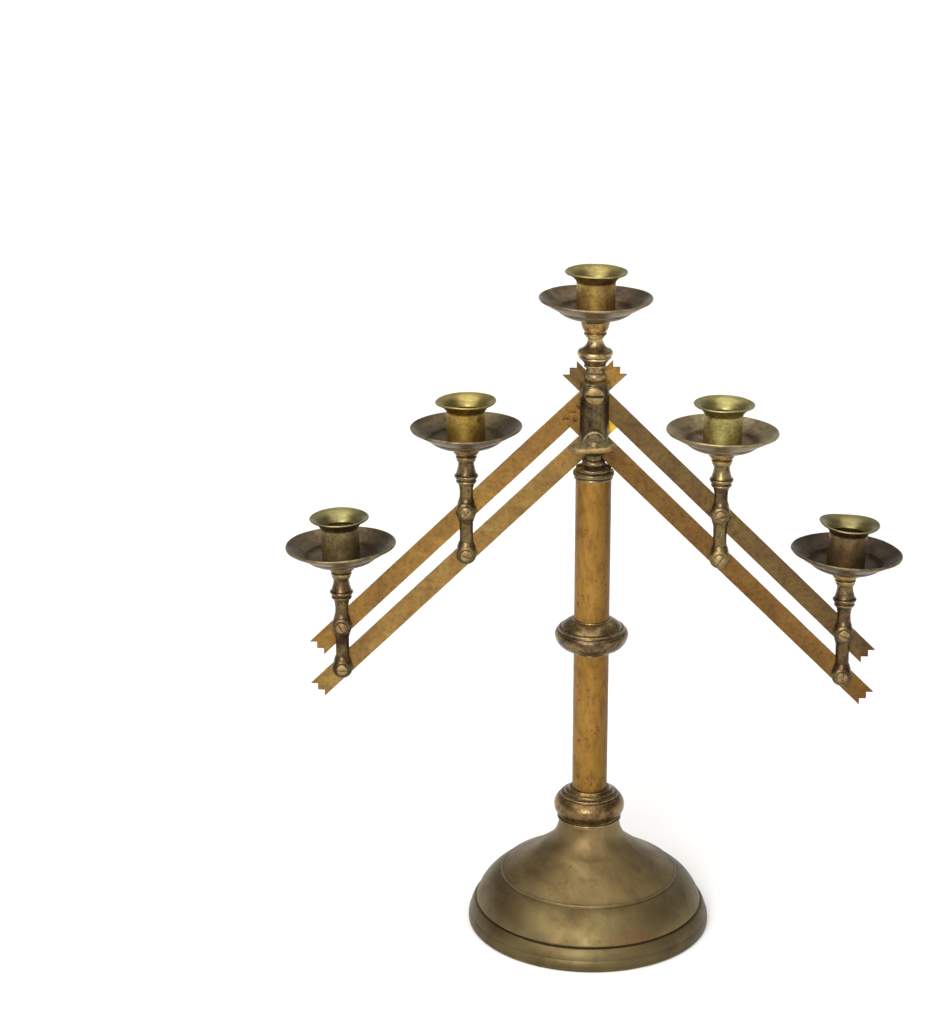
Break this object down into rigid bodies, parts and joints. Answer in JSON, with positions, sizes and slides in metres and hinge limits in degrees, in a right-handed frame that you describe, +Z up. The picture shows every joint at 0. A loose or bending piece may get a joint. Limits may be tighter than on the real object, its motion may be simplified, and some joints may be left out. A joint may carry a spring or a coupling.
{
  "type": "candelabrum",
  "caption": "Adjustable brass altar candelabrum: round base, tube column, slotted hub and two parallelogram arms whose stems keep the lights upright.",
  "frame": {"origin": "centre of the underside of the round base", "axes": "+Z up the column, +X towards the right arm, -Y towards the front, where the thumbscrew is"},
  "size_m": [0.4076, 0.1648, 0.4575],
  "materials": {
    "base_brass": "satin aged brass, olive brown lacquer worn by handling",
    "tube_brass": "polished drawn brass under old golden lacquer with brown pits",
    "turned_bronze": "dark brown patina on turned brass, bright on the beads",
    "bar_brass": "mottled golden brown sheet brass, darker at the sawn edges",
    "pan_bronze": "dark olive brown spun brass with a worn bright rim",
    "cup_brass": "worn spun brass, yellow green inside the mouth",
    "screw_brass": "worn turned brass",
    "thumb_brass": "grey olive cast brass, pebbled, brassy at the worn edge",
    "rod_steel": "plain zinc plated steel",
    "ballast_iron": "rough cast iron",
    "felt": "dark green baize"
  },
  "bodies": {
    "root": {"base_shell": "base_brass", "base_ballast": "ballast_iron", "felt_pad": "felt", "tie_rod": "rod_steel", "tie_rod_nut": "rod_steel", "tie_rod_washer": "rod_steel", "base_collar": "turned_bronze", "lower_tube": "tube_brass", "mid_knop": "turned_bronze", "upper_tube": "tube_brass", "hub_fork": "turned_bronze", "hub_pivot_screw": "screw_brass", "hub_upper_shim": "screw_brass", "hub_lower_shim": "screw_brass", "top_socket": "turned_bronze", "top_drip_pan": "pan_bronze", "top_candle_cup": "cup_brass"},
    "left_arm": {"left_upper_bar": "bar_brass"},
    "left_lower_link": {"left_lower_bar": "bar_brass"},
    "left_inner_light": {"left_inner_stem": "turned_bronze", "left_inner_upper_screw": "screw_brass", "left_inner_lower_screw": "screw_brass", "left_inner_socket": "turned_bronze", "left_inner_drip_pan": "pan_bronze", "left_inner_candle_cup": "cup_brass"},
    "left_outer_light": {"left_outer_stem": "turned_bronze", "left_outer_upper_screw": "screw_brass", "left_outer_lower_screw": "screw_brass", "left_outer_socket": "turned_bronze", "left_outer_drip_pan": "pan_bronze", "left_outer_candle_cup": "cup_brass"},
    "right_arm": {"right_upper_bar": "bar_brass"},
    "right_lower_link": {"right_lower_bar": "bar_brass"},
    "right_inner_light": {"right_inner_stem": "turned_bronze", "right_inner_upper_screw": "screw_brass", "right_inner_lower_screw": "screw_brass", "right_inner_socket": "turned_bronze", "right_inner_drip_pan": "pan_bronze", "right_inner_candle_cup": "cup_brass"},
    "right_outer_light": {"right_outer_stem": "turned_bronze", "right_outer_upper_screw": "screw_brass", "right_outer_lower_screw": "screw_brass", "right_outer_socket": "turned_bronze", "right_outer_drip_pan": "pan_bronze", "right_outer_candle_cup": "cup_brass"},
    "clamp": {"clamp_washer": "screw_brass"},
    "thumbscrew": {"thumbscrew": "thumb_brass"}
  },
  "joints": [
    {"name": "left_arm_raise", "type": "hinge", "parent": "root", "child": "left_arm", "pos_m": [0, 0, 0.377], "axis": [0, 1, 0], "range_deg": [-1, 92]},
    {"name": "left_lower_link_turn", "type": "hinge", "parent": "root", "child": "left_lower_link", "pos_m": [0, 0, 0.347], "axis": [0, 1, 0], "range_deg": [-1, 92]},
    {"name": "left_inner_light_level", "type": "hinge", "parent": "left_arm", "child": "left_inner_light", "pos_m": [-0.08345, 0, 0.29499], "axis": [0, 1, 0], "range_deg": [-92, 1]},
    {"name": "left_outer_light_level", "type": "hinge", "parent": "left_arm", "child": "left_outer_light", "pos_m": [-0.1669, 0, 0.21299], "axis": [0, 1, 0], "range_deg": [-92, 1]},
    {"name": "right_arm_raise", "type": "hinge", "parent": "root", "child": "right_arm", "pos_m": [0, 0, 0.377], "axis": [0, -1, 0], "range_deg": [-1, 92]},
    {"name": "right_lower_link_turn", "type": "hinge", "parent": "root", "child": "right_lower_link", "pos_m": [0, 0, 0.347], "axis": [0, -1, 0], "range_deg": [-1, 92]},
    {"name": "right_inner_light_level", "type": "hinge", "parent": "right_arm", "child": "right_inner_light", "pos_m": [0.08345, 0, 0.29499], "axis": [0, -1, 0], "range_deg": [-92, 1]},
    {"name": "right_outer_light_level", "type": "hinge", "parent": "right_arm", "child": "right_outer_light", "pos_m": [0.1669, 0, 0.21299], "axis": [0, -1, 0], "range_deg": [-92, 1]},
    {"name": "clamp_travel", "type": "slide", "parent": "root", "child": "clamp", "axis": [0, -1, 0], "range_m": [0, 0.0016]},
    {"name": "thumbscrew_turn", "type": "hinge", "parent": "clamp", "child": "thumbscrew", "pos_m": [0, -0.02, 0.347], "axis": [0, -1, 0], "range_deg": [0, 720]}
  ],
  "couplings": [
    {"joint": "left_lower_link_turn", "follows": "left_arm_raise", "ratio": 1},
    {"joint": "left_inner_light_level", "follows": "left_arm_raise", "ratio": -1},
    {"joint": "left_outer_light_level", "follows": "left_arm_raise", "ratio": -1},
    {"joint": "right_lower_link_turn", "follows": "right_arm_raise", "ratio": 1},
    {"joint": "right_inner_light_level", "follows": "right_arm_raise", "ratio": -1},
    {"joint": "right_outer_light_level", "follows": "right_arm_raise", "ratio": -1},
    {"joint": "thumbscrew_turn", "follows": "clamp_travel", "rad_per_m": 7854}
  ]
}
